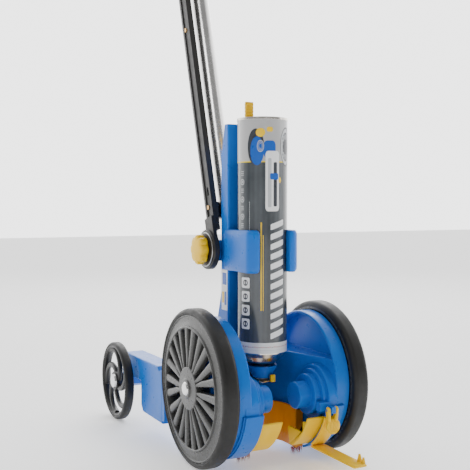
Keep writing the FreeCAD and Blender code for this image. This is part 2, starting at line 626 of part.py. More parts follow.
shroud_flange = box("shroud_flange", ("-flange_half", "flange_half"), ("-27", "-24"),
                    ("shroud_low", "shroud_top - 4"))
node("spray_shroud", cut(
    "spray_shroud", fuse("shroud_mass", tunnel("shroud_outside", "shroud_radius", "shroud_front_y"),
                         shroud_flange),
    tunnel("shroud_inside", "shroud_radius - shroud_wall", "shroud_front_y - 1")))
node("guard_brushes", mirrored_set("guard_brushes", box(
    "guard_brush", ("shroud_radius - 8", "flange_half"), ("-27", "-23"), ("3", "shroud_low"))))
node("shroud_brush", tube("shroud_brush", "Z", "shroud_radius - 0.5", "shroud_radius - shroud_wall + 0.5",
                          ("3", "shroud_low"), ("0", "can_y"), 50, "80"))

# ---------------------------------------------------------------- pointer

pointer_bow = tube("pointer_bow", "X", "shield_radius + gap + skirt_wall + 1 + pointer_wall",
                   "shield_radius + gap + skirt_wall + 1",
                   ("pointer_x", "pointer_x + pointer_width"), ("0", "wheel_radius"), 19, "33.5")
pointer_tongue = box("pointer_tongue", ("pointer_x", "pointer_x + pointer_width"),
                     ("pointer_tip_y", "-56"), ("pointer_low", "pointer_low + pointer_wall"))
pointer_ears = [fuse(f"pointer_ear_{number}", cylinder(
    f"ear_eye_{number}", "X", "4", (low, low + " + ear_wall"), ("pointer_y", "pointer_z")),
    box(f"ear_root_{number}", (low, low + " + ear_wall"), ("pointer_y - 4", "-90.4"), ("62", "pointer_z")))
    for number, low in enumerate(("pointer_x", "pointer_x + ear_wall + ear_space"))]
thumb_lobe = fuse("thumb_lobe", cylinder("thumb_disc", "Y", "thumb_radius", ("-96", "-91.5"),
                                         ("thumb_x", "thumb_z")),
                  box("thumb_web", ("thumb_x - 5", "thumb_x + 5"), ("-95", "-85.6"), ("thumb_z - 2", "62")))
pointer_sight = side_plate("pointer_sight", [
    ("pointer_tip_y + 4", "pointer_low + 1"), ("pointer_tip_y + 4", "pointer_low + 10"),
    ("pointer_tip_y + 9", "pointer_low + 5"), ("pointer_tip_y + 16", "pointer_low + 12"),
    ("pointer_tip_y + 18", "pointer_low + 1")], ("pointer_x + 16", "pointer_x + pointer_width"))
node("pointer", cut("pointer", fuse("pointer_mass", pointer_bow, pointer_tongue, *pointer_ears,
                                    thumb_lobe, pointer_sight),
                    cylinder("pointer_hole", "X", "pin_radius + play", ("pointer_x - 1", "pointer_x + 21"),
                             ("pointer_y", "pointer_z")),
                    box("pointer_gap", ("pointer_x + ear_wall", "pointer_x + ear_wall + ear_space"),
                        ("-99", "-80"), ("65", "90"))))

# ---------------------------------------------------------------- handle

FOLD = ("0", "fold_y", "fold_z")


def lean(thing):
    """Lean an upright handle part back about the fold axis."""
    put(thing, FOLD, Rotation(Vector(1, 0, 0), -1))
    bind(thing, "Placement.Rotation.Angle", "-lean")
    return thing


def handle_turn():
    return Placement(Vector(0, size("fold_y"), size("fold_z")), Rotation(Vector(1, 0, 0), -size("lean")))


def grip_turn(extra=Placement()):
    """Where a part drawn about the grip goes on the leaning handle."""
    head = Vector(-size("tube_x"), size("tube_back"), size("tube_top") + 5)
    tip_over = Rotation(Vector(1, 0, 0), -size("grip_lean"))
    return handle_turn().multiply(Placement(head, tip_over)).multiply(extra)


hub_disc = cylinder("hub_disc", "X", "hub_radius", ("-hub_face_x - hub_wall", "-hub_face_x"), ("0", "0"))
hub = round_over("hub", hub_disc, "boss_round", on_face("X", -size("hub_face_x") - size("hub_wall")))
hub_step = cylinder("hub_step", "X", "hub_radius - 5", ("-hub_face_x - hub_depth", "-hub_face_x - 6"),
                    ("0", "0"))
shank_front, shank_rear = "shank_y - shank_half", "shank_y + shank_half"
shank = box("shank", ("-shank_x", "-shank_x + shank_wall"), (shank_front, shank_rear),
            ("hub_radius - 5", "shank_top"))
shank_foot = box("shank_foot", ("-shank_x - 3", "-hub_face_x"), (shank_front, shank_rear),
                 ("9", "hub_radius + 14"))
shank_ridge = box("shank_ridge", ("-shank_x - 1.5", "-shank_x"), ("shank_y + 3", "shank_y + 6"),
                  ("40", "shank_top - 5"))
shank_hole = fuse("shank_hole", *[
    cylinder(f"shank_hole_{number}", "X", "2.2", ("-60", "-20"), ("shank_y - 4", level))
    for number, level in enumerate(("72", "80"))],
    box("shank_slot", ("-60", "-20"), ("shank_y - 6.2", "shank_y - 1.8"), ("72", "80")))
arm_bore = cylinder("arm_bore", "X", "bolt_radius + play", ("-60", "-30"), ("0", "0"))
handle_arm = cut("handle_arm", fuse("arm_mass", hub, hub_step, shank, shank_foot, shank_ridge),
                 arm_bore, shank_hole)
node("handle_arm", lean(group("handle_arm_set", handle_arm)))

tube_centre = ("-tube_x", "tube_back")
handle_tube = tube("handle_tube", "Z", "tube_radius", "tube_radius - tube_wall",
                   ("tube_low", "tube_top"), tube_centre)
node("handle_tube", lean(group("handle_tube_set", handle_tube)))


def tube_clamp(name, low, high):
    """A saddle that ties the arm to the tube."""
    block = box(name + "_block", ("-shank_x + shank_wall", "-tube_x - 5"), ("tube_back", "tube_back + 9"),
                (low, high))
    bore = cylinder(name + "_bore", "Z", "tube_radius", ("0", "tube_top"), tube_centre)
    return lean(group(name + "_set", cut(name, block, bore)))


node("lower_clamp", tube_clamp("lower_clamp", "44", "66"))
node("upper_clamp", tube_clamp("upper_clamp", "shank_top - 40", "shank_top - 10"))
RIVET_HEIGHTS = ("55", "318", "shank_top - 25")
node("arm_rivets", lean(group("arm_rivets", *[
    cylinder(f"arm_rivet_{number}", "X", "3", ("-shank_x - 1.2", "-shank_x"), ("shank_y", level))
    for number, level in enumerate(RIVET_HEIGHTS)])))

socket = tube("grip_socket", "Z", "tube_radius + 4", "tube_radius", ("tube_top - 60", "tube_top"),
              tube_centre)
knuckle = doc.addObject("Part::Sphere", "grip_knuckle")
bind(knuckle, "Radius", "tube_radius + 4.5")
put(knuckle, ("-tube_x", "tube_back", "tube_top + 5"))
knuckle_cut = cut("grip_knuckle_cut", knuckle, cylinder("grip_seat", "Z", "tube_radius", (
    "tube_top - 20", "tube_top"), tube_centre))
stem = fuse("grip_stem", cylinder("grip_core", "Z", "grip_radius", ("0", "grip_length"), ("0", "0")),
            cylinder("grip_end", "Z", "sleeve_radius", ("grip_length - 6", "grip_length"), ("0", "0")),
            *[box(f"grip_ear_{number}", (low, low + " + 3"), ("8", "trigger_pivot + 5"),
                  ("6", "trigger_up + 6")) for number, low in enumerate(("-9", "6"))])
stem_seated = group("grip_stem_set", cut("grip_stem_cut", stem, cylinder(
    "grip_pin_hole", "X", "2.5", ("-10", "10"), ("trigger_pivot", "trigger_up"))))
head = Vector(-size("tube_x"), size("tube_back"), size("tube_top") + 5)
stem_seated.Placement = Placement(head, Rotation(Vector(1, 0, 0), -size("grip_lean")))
clear_tube = cylinder("grip_clear", "Z", "tube_radius", ("0", "tube_top"), tube_centre)
grip_body = fuse("grip_body", socket, knuckle_cut, cut("grip_stem_clear", stem_seated, clear_tube))
node("grip_body", lean(group("grip_body_set", grip_body)))

sleeve = tube("grip_sleeve", "Z", "sleeve_radius", "grip_radius", ("20", "grip_length - 6"), ("0", "0"))
sleeve_group = node("grip_sleeve", group("grip_sleeve_set", sleeve))
sleeve_group.Placement = grip_turn()
pin_group = node("trigger_pin", group("trigger_pin_set", cylinder(
    "trigger_pin", "X", "2.5", ("-10", "10"), ("trigger_pivot", "trigger_up"))))
pin_group.Placement = grip_turn()
lever = cut("trigger_lever", fuse(
    "trigger_mass", cylinder("trigger_eye", "X", "5", ("-5.5", "5.5"), ("0", "0")),
    box("trigger_blade", ("-5.5", "5.5"), ("0", "4.5"), ("0", "92")),
    cylinder("trigger_toe", "X", "4", ("-5.5", "5.5"), ("1", "92"))),
    cylinder("trigger_bore", "X", "2.5 + play", ("-7", "7"), ("0", "0")))
lever_group = node("trigger", group("trigger_set", lever))
lever_group.Placement = grip_turn(Placement(Vector(0, size("trigger_pivot"), size("trigger_up")),
                                            Rotation(Vector(1, 0, 0), -size("trigger_rest"))))
node("pull_rod", lean(group("pull_rod_set", cylinder(
    "pull_rod", "Z", "3", ("tube_low - 6", "tube_top - 12"), tube_centre))))

knob_lobes = [cylinder(f"knob_lobe_{number}", "X", "lobe_radius",
                       ("-knob_high_x + 1", "-knob_low_x - 2"), ("0", "0"))
              for number in range(int(size("knob_lobes")))]
for number, lobe in enumerate(knob_lobes):
    spoke = Rotation(Vector(1, 0, 0), 360 * number / len(knob_lobes))
    reach = spoke.multVec(Vector(0, 0, size("knob_radius") - 1.5))
    put(lobe, ("-knob_high_x + 1", f"fold_y + ({reach.y})", f"fold_z + ({reach.z})"), AXIS_TURN["X"])
fold_centre = ("fold_y", "fold_z")
node("clamp_knob", cut("clamp_knob", fuse(
    "knob_mass",
    cylinder("knob_disc", "X", "knob_radius - 1", ("-knob_high_x", "-knob_low_x - 2"), fold_centre),
    cylinder("knob_neck", "X", "14", ("-knob_low_x - 3", "-knob_low_x"), fold_centre), *knob_lobes),
    cylinder("knob_bore", "X", "8", ("-knob_high_x + 2.5", "-knob_low_x + 1"), fold_centre)))
node("knob_insert", tube("knob_insert", "X", "8", "bolt_radius + play",
                         ("-knob_high_x + 2.6", "-knob_low_x"), fold_centre))

# ---------------------------------------------------------------- check and write

doc.recompute()
for thing in doc.Objects:
    if "Invalid" in thing.State or "Error" in thing.State:
        raise RuntimeError(f"{thing.Name} did not recompute: {thing.State}")
for name, thing in nodes.items():
    if thing.Shape.isNull() or not thing.Shape.isValid() or not thing.Shape.Solids:
        raise RuntimeError(f"{name} has no valid solid")

os.makedirs("parts", exist_ok=True)
for name, thing in nodes.items():
    thing.Shape.exportStep(f"parts/{name}.step")
print(f"{len(nodes)} sub-parts written")
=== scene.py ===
import json
import math
import random

import bmesh
import bpy
from mathutils import Matrix, Vector


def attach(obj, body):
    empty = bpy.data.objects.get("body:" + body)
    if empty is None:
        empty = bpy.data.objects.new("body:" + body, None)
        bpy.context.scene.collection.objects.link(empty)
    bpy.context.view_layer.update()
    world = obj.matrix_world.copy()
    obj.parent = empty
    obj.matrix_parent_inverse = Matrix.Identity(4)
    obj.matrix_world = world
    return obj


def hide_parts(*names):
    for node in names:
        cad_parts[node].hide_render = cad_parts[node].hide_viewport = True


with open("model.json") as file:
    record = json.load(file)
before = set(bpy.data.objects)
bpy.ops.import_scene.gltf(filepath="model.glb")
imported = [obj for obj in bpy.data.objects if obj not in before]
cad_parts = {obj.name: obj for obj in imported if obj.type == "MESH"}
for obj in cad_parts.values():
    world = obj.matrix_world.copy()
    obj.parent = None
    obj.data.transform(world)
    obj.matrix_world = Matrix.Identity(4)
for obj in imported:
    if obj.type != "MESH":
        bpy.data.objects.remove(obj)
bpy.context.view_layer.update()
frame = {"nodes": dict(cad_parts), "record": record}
MM = 0.001
SCALE = Matrix.Scale(MM, 4)
SIDES = {"left": -1, "right": 1}

# ---------------------------------------------------------------- materials

# how far the shading softens an edge, in metres
PLASTIC_EDGE, METAL_EDGE, RUBBER_EDGE = 0.9 * MM, 0.4 * MM, 0.8 * MM


class Shader:
    """A node material that is built up one node at a time."""

    def __init__(self, name):
        self.material = bpy.data.materials.new(name)
        self.material.use_nodes = True
        self.nodes = self.material.node_tree.nodes
        self.links = self.material.node_tree.links
        self.base = self.nodes["Principled BSDF"]
        self.place = self.add("ShaderNodeTexCoord").outputs["Object"]

    def add(self, kind, inputs=None, **settings):
        node = self.nodes.new(kind)
        for key, value in settings.items():
            setattr(node, key, value)
        for key, value in (inputs or {}).items():
            if isinstance(value, bpy.types.NodeSocket):
                self.links.new(value, node.inputs[key])
            else:
                node.inputs[key].default_value = value
        return node

    def math(self, operation, first, second=0.0, clamp=False):
        return self.add("ShaderNodeMath", {0: first, 1: second}, operation=operation,
                        use_clamp=clamp).outputs[0]

    def noise(self, scale, detail, rough=0.55, stretch=None):
        where = self.place
        if stretch:
            where = self.add("ShaderNodeMapping", {"Vector": where, "Scale": stretch}).outputs[0]
        return self.add("ShaderNodeTexNoise", {"Vector": where, "Scale": scale, "Detail": detail,
                                               "Roughness": rough}).outputs["Fac"]

    def spread(self, value, low, high, start=0.3, end=0.7):
        """Map start..end of a value onto low..high."""
        return self.add("ShaderNodeMapRange", {0: value, 1: start, 2: end, 3: low, 4: high}).outputs[0]

    def mix(self, factor, first, second):
        node = self.add("ShaderNodeMix", data_type="RGBA")
        for socket, value in ((node.inputs[0], factor), (node.inputs[6], first), (node.inputs[7], second)):
            if isinstance(value, bpy.types.NodeSocket):
                self.links.new(value, socket)
            else:
                socket.default_value = value
        return node.outputs[2]

    def edges(self, radius):
        """A rounded normal, and a mask that is 1 where an edge is sharp."""
        rounded = self.add("ShaderNodeBevel", {"Radius": radius}, samples=6).outputs[0]
        flat = self.add("ShaderNodeNewGeometry").outputs["Normal"]
        same = self.add("ShaderNodeVectorMath", {0: rounded, 1: flat}, operation="DOT_PRODUCT")
        return rounded, self.spread(same.outputs["Value"], 1.0, 0.0, 0.86, 0.995)

    def bump(self, height, strength, distance, normal=None):
        inputs = {"Height": height, "Strength": strength, "Distance": distance}
        if normal is not None:
            inputs["Normal"] = normal
        return self.add("ShaderNodeBump", inputs).outputs[0]

    def set(self, **values):
        for key, value in values.items():
            socket = self.base.inputs[key.replace("_", " ")]
            if isinstance(value, bpy.types.NodeSocket):
                self.links.new(value, socket)
            else:
                socket.default_value = value


def colour(*rgb):
    return (*rgb, 1.0)


def shade(rgb, factor):
    return tuple(min(1.0, channel * factor) for channel in rgb[:3]) + (1.0,)


def moulded(name, rgb, rough, grain=0.06, wear=0.25, mottle=0.05, shine=0.5):
    """Moulded plastic: faint mottling, a fine skin, softened edges that wear lighter."""
    shader = Shader(name)
    broad = shader.noise(14.0, 3.0)
    fine = shader.noise(1400.0, 2.0)
    dust = shader.noise(90.0, 6.0, 0.65)
    rounded, edge = shader.edges(PLASTIC_EDGE)
    base = shader.mix(shader.spread(broad, 0, 1), shade(rgb, 1 - mottle), shade(rgb, 1 + mottle))
    rubbed = shader.math("MULTIPLY", edge, shader.spread(dust, 0.1, wear, 0.35, 0.7))
    pale = tuple(channel * 0.8 + 0.12 for channel in rgb[:3]) + (1.0,)
    shader.set(Base_Color=shader.mix(rubbed, base, pale),
               Roughness=shader.spread(dust, rough - 0.05, rough + 0.09),
               Normal=shader.bump(fine, grain, 0.15 * MM, rounded))
    shader.base.inputs["Specular IOR Level"].default_value = shine
    return shader.material


def metal(name, rgb, rough, scale, stretch=(1, 1, 1)):
    """Metal with drawn or turned streaks, smudges and brighter edges."""
    shader = Shader(name)
    streaks = shader.noise(scale, 3.0, 0.6, stretch=stretch)
    smudge = shader.noise(26.0, 5.0)
    rounded, edge = shader.edges(METAL_EDGE)
    base = shader.mix(shader.spread(smudge, 0, 1), shade(rgb, 0.88), rgb)
    shader.set(Base_Color=shader.mix(shader.math("MULTIPLY", edge, 0.5), base, shade(rgb, 1.25)),
               Metallic=1.0,
               Roughness=shader.spread(shader.math("ADD", streaks, smudge), rough - 0.06, rough + 0.12,
                                       0.7, 1.3),
               Normal=shader.bump(streaks, 0.1, 0.05 * MM, rounded))
    return shader.material


def rubber(name, rgb, rough):
    """Tyre rubber: a painted highlight that lightens the rounded edges, fine speckle and scuffs on the
    tread.
    """
    shader = Shader(name)
    speckle = shader.noise(900.0, 4.0)
    scuff = shader.noise(60.0, 8.0, 0.7)
    rounded, edge = shader.edges(RUBBER_EDGE)
    base = shader.mix(shader.spread(scuff, 0, 1, 0.4, 0.75), rgb, shade(rgb, 1.9))
    # rounded edges lightened towards three times the base colour: a painted highlight
    shader.set(Base_Color=shader.mix(shader.math("MULTIPLY", edge, 0.35), base, shade(rgb, 3.0)),
               Roughness=shader.spread(scuff, rough - 0.1, rough + 0.15),
               Normal=shader.bump(speckle, 0.25, 0.12 * MM, rounded))
    return shader.material


BLUE = colour(0.0, 0.145, 0.6)
YELLOW = colour(1.0, 0.6, 0.0)
MATERIALS = {
    "blue_plastic": moulded("blue_plastic", BLUE, rough=0.3, wear=0.05, grain=0.1, shine=0.3),
    "yellow_plastic": moulded("yellow_plastic", YELLOW, rough=0.36, wear=0.06, shine=0.25),
    # the shroud's yellow plastic is coloured a deep orange here: painted shade for the shadow it stands in
    "amber_plastic": moulded("amber_plastic", colour(0.8, 0.3, 0.01), rough=0.42, wear=0.1, mottle=0.12),
    "white_print": moulded("white_print", colour(0.86, 0.87, 0.88), rough=0.3, grain=0.02),
    "pale_print": moulded("pale_print", colour(0.5, 0.52, 0.54), rough=0.3, grain=0.02),
    "dark_print": moulded("dark_print", colour(0.035, 0.04, 0.05), rough=0.3, grain=0.02),
    "blue_print": moulded("blue_print", colour(0.0, 0.09, 0.46), rough=0.3, grain=0.02),
    "yellow_print": moulded("yellow_print", colour(0.95, 0.6, 0.0), rough=0.3, grain=0.02),
    "red_print": moulded("red_print", colour(0.5, 0.03, 0.02), rough=0.3, grain=0.02),
    "grey_rim": moulded("grey_rim", colour(0.05, 0.05, 0.048), rough=0.27, wear=0.2, grain=0.03),
    "black_rim": moulded("black_rim", colour(0.009, 0.0085, 0.008), rough=0.36, wear=0.2),
    "bush_plastic": moulded("bush_plastic", colour(0.5, 0.5, 0.48), rough=0.5),
    "charcoal_plastic": moulded("charcoal_plastic", colour(0.014, 0.013, 0.012), rough=0.42, grain=0.15,
                                wear=0.15),
    "nozzle_plastic": moulded("nozzle_plastic", colour(0.75, 0.72, 0.65), rough=0.4),
    "paint": moulded("paint", colour(0.85, 0.85, 0.84), rough=0.2),
    "tyre_rubber": rubber("tyre_rubber", colour(0.003, 0.0027, 0.0023), rough=0.5),
    "grip_rubber": rubber("grip_rubber", colour(0.025, 0.025, 0.025), rough=0.7),
    "bristle": rubber("bristle", colour(0.3, 0.045, 0.015), rough=0.55),
    "steel": metal("steel", colour(0.58, 0.58, 0.57), rough=0.32, scale=500.0),
    "bright_cap": metal("bright_cap", colour(0.85, 0.85, 0.84), rough=0.12, scale=200.0),
    "aluminium": metal("aluminium", colour(0.9, 0.89, 0.875), rough=0.2, stretch=(1, 1, 0.02), scale=900.0),
    "brass": metal("brass", colour(0.72, 0.43, 0.15), rough=0.28, scale=300.0),
    "can_metal": metal("can_metal", colour(0.8, 0.76, 0.7), rough=0.22, scale=120.0),
}


# heights on the can, in millimetres: where the pale top starts above its thin line,
# where the white foot ends, and where the bare shoulder ends
PALE_FROM, LINE_HALF, FOOT_TOP, SHOULDER_TOP = 384.5, 0.8, 155, 141.2
CAN_Y, CAN_RADIUS = -3.0, 32.5
BROAD_BANDS, FINE_BANDS = 7.0, 31.0


def can_shader():
    """Printed tin: a pale top, a dark body with upright bands, a white foot and a bare shoulder."""
    shader = Shader("can_print")
    spot = shader.add("ShaderNodeSeparateXYZ", {0: shader.place})
    height = spot.outputs["Z"]
    forward = shader.math("SUBTRACT", CAN_Y * MM, spot.outputs["Y"])
    angle = shader.math("ARCTAN2", spot.outputs["X"], forward)
    broad = shader.math("SINE", shader.math("MULTIPLY", angle, BROAD_BANDS))
    fine = shader.math("SINE", shader.math("MULTIPLY", angle, FINE_BANDS))
    bands = shader.math("ADD", shader.math("MULTIPLY", broad, 0.3), shader.math("MULTIPLY", fine, 0.12))
    smudge = shader.noise(40.0, 5.0)
    dark = shader.mix(shader.math("ADD", bands, 0.5, True), colour(0.03, 0.036, 0.042),
                      colour(0.075, 0.086, 0.096))
    dark = shader.mix(shader.spread(smudge, 0.0, 0.12), dark, colour(0.2, 0.22, 0.23))
    top = shader.math("GREATER_THAN", height, PALE_FROM * MM)
    print_colour = shader.mix(top, dark, colour(0.46, 0.46, 0.46))
    beyond = shader.math("ABSOLUTE", shader.math("SUBTRACT", height, PALE_FROM * MM))
    line = shader.math("LESS_THAN", beyond, LINE_HALF * MM)
    print_colour = shader.mix(line, print_colour, colour(0.8, 0.6, 0.02))
    foot = shader.math("LESS_THAN", height, FOOT_TOP * MM)
    print_colour = shader.mix(foot, print_colour, colour(0.8, 0.8, 0.79))
    bare = shader.math("LESS_THAN", height, SHOULDER_TOP * MM)
    print_colour = shader.mix(bare, print_colour, colour(0.72, 0.66, 0.58))
    shader.set(Base_Color=print_colour, Metallic=bare,
               Roughness=shader.spread(smudge, 0.17, 0.27),
               Normal=shader.bump(smudge, 0.05, 0.3 * MM))
    shader.base.inputs["Coat Weight"].default_value = 0.4
    shader.base.inputs["Coat Roughness"].default_value = 0.08
    return shader.material


MATERIALS["can_print"] = can_shader()

slot_of = {part["node"]: part["material_slot"] for part in frame["record"]["subparts"]}
for name, thing in frame["nodes"].items():
    thing.data.materials.clear()
    thing.data.materials.append(MATERIALS[slot_of[name]])

# ---------------------------------------------------------------- shared mesh tools

# the angle between faces, in degrees, from which an edge is drawn sharp
SHARP = 38.0
FRONT_TRACK, FRONT_RADIUS = 91.0, 100.0


def finish_piece(name, bm, body, slot, replaces=(), material=None, sharp=SHARP):
    """Turn a bmesh into a shaded piece that rides on a body."""
    bmesh.ops.remove_doubles(bm, verts=bm.verts, dist=0.002 * MM)
    bmesh.ops.recalc_face_normals(bm, faces=bm.faces)
    mesh = bpy.data.meshes.new(name)
    bm.to_mesh(mesh)
    bm.free()
    mesh.shade_smooth()
    mesh.set_sharp_from_angle(angle=math.radians(sharp))
    mesh.materials.append(MATERIALS[material or slot])
    thing = bpy.data.objects.new(name, mesh)
    bpy.context.collection.objects.link(thing)
    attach(thing, body)
    if replaces:
        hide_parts(*replaces)
    return thing


def arc(centre, radius, first, last, steps=8):
    """Points along an arc, from one angle to another in degrees."""
    return [(centre[0] + radius * math.cos(math.radians(first + (last - first) * step / steps)),
             centre[1] + radius * math.sin(math.radians(first + (last - first) * step / steps)))
            for step in range(steps + 1)]


def add_lathe(bm, profile, turn, segments):
    """Spin a closed outline of (radius, height) corners, in millimetres, about the local Z."""
    rings = []
    for number in range(segments):
        angle = 2 * math.pi * number / segments
        rings.append([bm.verts.new(turn @ Vector((radius * math.cos(angle), radius * math.sin(angle),
                                                  height))) for radius, height in profile])
    count = len(profile)
    for number, ring in enumerate(rings):
        after = rings[(number + 1) % segments]
        for step in range(count):
            follow = (step + 1) % count
            corners = [ring[step], ring[follow], after[follow], after[step]]
            on_axis = [profile[step][0] < 1e-6, profile[follow][0] < 1e-6]
            if all(on_axis):
                continue
            if on_axis[0]:
                corners = [ring[step], ring[follow], after[follow]]
            elif on_axis[1]:
                corners = [ring[step], ring[follow], after[step]]
            bm.faces.new(corners)


def add_tube(bm, rows):
    """Skin a list of equal cross-sections, each a closed ring of points, and close both ends."""
    rings = [[bm.verts.new(point) for point in row] for row in rows]
    for ring, after in zip(rings, rings[1:]):
        count = len(ring)
        for step in range(count):
            follow = (step + 1) % count
            bm.faces.new([ring[step], ring[follow], after[follow], after[step]])
    bm.faces.new(rings[0])
    bm.faces.new(rings[-1])


def add_box(bm, low, high, rounding=0.0):
    """A box between two corners in millimetres, with its edges rounded."""
    made = bmesh.ops.create_cube(bm, size=1.0)["verts"]
    low, high = Vector(low), Vector(high)
    size = high - low
    for vert in made:
        vert.co = SCALE @ Vector([low[axis] + (vert.co[axis] + 0.5) * size[axis] for axis in range(3)])
    if rounding:
        edges = {edge for vert in made for edge in vert.link_edges}
        bmesh.ops.bevel(bm, geom=list(edges), offset=rounding * MM, segments=3, profile=0.5,
                        affect="EDGES")


def around_axle(radius, first, pitch, count):
    """Points in (y, z) round the front axle, in degrees below the line that runs forwards."""
    angles = [math.radians(first + pitch * step) for step in range(count)]
    return [(-radius * math.cos(angle), FRONT_RADIUS - radius * math.sin(angle)) for angle in angles]


def rounded_plan(low, high, corners, steps=8):
    """A rectangle's outline in X and Y, each corner with its own radius, counter-clockwise."""
    points = []
    places = ((low[0], low[1], 180), (high[0], low[1], 270), (high[0], high[1], 0), (low[0], high[1], 90))
    for (x, y, start), radius in zip(places, corners):
        centre = (x + radius if x == low[0] else x - radius, y + radius if y == low[1] else y - radius)
        points += arc(centre, radius, start, start + 90, steps)
    return points


def wheel_turn(side, track, y, z):
    """The place of a wheel drawn lying down, its outer face upwards, in millimetres."""
    sign = SIDES[side]
    down = Vector((0, 0, sign))
    out = Vector((sign, 0, 0))
    across = out.cross(down)
    turn = Matrix((down, across, out)).transposed().to_4x4()
    return SCALE @ Matrix.Translation((sign * track, y, z)) @ turn


# ---------------------------------------------------------------- wheels

REAR_TRACK, REAR_Y, REAR_RADIUS = 108.0, 263.0, 59.0
PAIRS = 11
HALF_PITCH = math.pi / PAIRS
# half a tyre's width, the radius it sits on and the rounding of its shoulders
FRONT_HALF, FRONT_SEAT, FRONT_ROUND = 11.0, 92.0, 6.0
REAR_HALF, REAR_SEAT, REAR_ROUND = 7.0, 54.0, 4.0
# the gap left between two surfaces that touch
SKIN = 0.05
BUSH_RADIUS, AXLE_RADIUS = 8.0, 5.0
RIB_INNER, RIB_OUTER, RIB_ROOT = 24.0, 77.0, 4.5
REAR_SPOKES, BOW_RADIUS, BOW_REACH = 5, 27.5, 23.0


def add_ribs(bm, turn):
    """Eleven V-shaped pairs of ribs with rounded tops, open between them."""
    steps, across = 18, 10
    for pair in range(PAIRS):
        for side in (-1, 1):
            rows = []
            for step in range(steps + 1):
                share = step / steps
                reach = RIB_INNER + (RIB_OUTER - RIB_INNER) * share
                long_half = 2.4 + 3.0 * share
                short_half = 0.12 + 4.5 * max(0.0, (reach - 43.0) / 32.0) ** 0.8
                low = math.asin(long_half / reach)
                high = HALF_PITCH - math.asin(short_half / reach)
                crest = 13.9 - 1.9 * share
                crown = 2.6 - 0.6 * share
                row = []
                for point in range(across + 1):
                    part = point / across
                    angle = 2 * HALF_PITCH * pair + side * (low + (high - low) * part)
                    lift = math.sqrt(max(0.0, 1.0 - abs(2 * part - 1) ** 2.4))
                    row.append(turn @ Vector((reach * math.cos(angle), reach * math.sin(angle),
                                              crest - crown + crown * lift)))
                for angle_at in (high, low):
                    angle = 2 * HALF_PITCH * pair + side * angle_at
                    row.append(turn @ Vector((reach * math.cos(angle), reach * math.sin(angle), RIB_ROOT)))
                rows.append(row)
            add_tube(bm, rows)


def make_front_wheel(side):
    """A ribbed rim and its tyre; the cap and the bush stay as they are."""
    turn = wheel_turn(side, FRONT_TRACK, 0.0, FRONT_RADIUS)
    body = f"{side}_front_wheel"
    bm = bmesh.new()
    add_lathe(bm, [(FRONT_SEAT, -FRONT_HALF), (FRONT_SEAT, 8.5)] + arc((90.8, 8.8), 1.2, 0, 180, 6)
              + [(89.2, 8.8), (84, 9.3), (78.5, 10.6)] + arc((76.6, 11.4), 1.5, 20, 190, 7)
              + [(74.6, 9.5), (74.2, 2), (75, -8), (89, -8), (89, -FRONT_HALF)], turn, 160)
    hole = BUSH_RADIUS + SKIN
    add_lathe(bm, [(hole, 16.95)] + arc((10.9, 16.0), 0.95, 90, 0, 4) + [(12.2, 15.5), (13.2, 15.1)]
              + [(15, 15.0), (24.4, 14.3)] + arc((25.4, 12.8), 1.5, 80, 0, 5)
              + [(27.2, 4), (15, 4), (15, -9), (hole, -9)], turn, 96)
    add_ribs(bm, turn)
    finish_piece(f"{side}_front_rim_detail", bm, body, "grey_rim", [f"{side}_front_rim"])
    bm = bmesh.new()
    seat = FRONT_SEAT + SKIN
    middle, height = FRONT_RADIUS - FRONT_ROUND, FRONT_HALF - FRONT_ROUND
    add_lathe(bm, [(seat, -FRONT_HALF)] + arc((middle, -height), FRONT_ROUND, -90, 0)
              + arc((middle, height), FRONT_ROUND, 0, 84)
              + [(94.2, 10.6), (93.9, 10.2), (93.4, 10.6), (92.7, 10.5), (seat, 9.9)], turn, 192)
    finish_piece(f"{side}_front_tyre_detail", bm, body, "tyre_rubber", [f"{side}_front_tyre"])


def make_rear_wheel(side):
    """A plain rim with bowed spokes that fade into the hub, and its tyre."""
    turn = wheel_turn(side, REAR_TRACK, REAR_Y, REAR_RADIUS)
    body = f"{side}_rear_wheel"
    bm = bmesh.new()
    add_lathe(bm, [(REAR_SEAT, -6), (REAR_SEAT, 6)] + arc((52.4, 5.6), 0.9, 60, 200, 5)
              + [(50.4, 4.6), (49.6, 0), (50.4, -5), (51.4, -6)], turn, 128)
    hole = AXLE_RADIUS + SKIN
    add_lathe(bm, [(hole, -REAR_HALF), (13.2, -REAR_HALF)] + arc((12.6, 4.6), 1.4, 0, 90, 4)
              + [(9, 5.0), (hole, 5.0)], turn, 64)
    steps, corners = 24, 12
    for spoke in range(REAR_SPOKES):
        swing = Matrix.Rotation(2 * math.pi * spoke / REAR_SPOKES, 4, "Z")
        rows = []
        for step in range(steps + 1):
            sweep = math.radians(-172 + 170 * step / steps)
            half_wide = 4.6 - 1.0 * step / steps
            row = []
            for corner in range(corners):
                around = 2 * math.pi * corner / corners
                wide = half_wide * math.copysign(abs(math.cos(around)) ** 0.7, math.cos(around))
                high = 0.5 + 3.4 * math.copysign(abs(math.sin(around)) ** 0.8, math.sin(around))
                reach = BOW_RADIUS + wide
                row.append(turn @ swing @ Vector((BOW_REACH + reach * math.cos(sweep),
                                                  reach * math.sin(sweep), high)))
            rows.append(row)
        add_tube(bm, rows)
    finish_piece(f"{side}_rear_rim_detail", bm, body, "black_rim", [f"{side}_rear_rim"])
    bm = bmesh.new()
    seat = REAR_SEAT + SKIN
    middle, height = REAR_RADIUS - REAR_ROUND, REAR_HALF - REAR_ROUND
    add_lathe(bm, [(seat, -REAR_HALF)] + arc((middle, -height), REAR_ROUND, -90, 0)
              + arc((middle, height), REAR_ROUND, 0, 80) + [(middle, 6.5), (seat, 6.2)], turn, 144)
    finish_piece(f"{side}_rear_tyre_detail", bm, body, "tyre_rubber", [f"{side}_rear_tyre"])


for side in SIDES:
    make_front_wheel(side)
    make_rear_wheel(side)

# ---------------------------------------------------------------- knob and grip

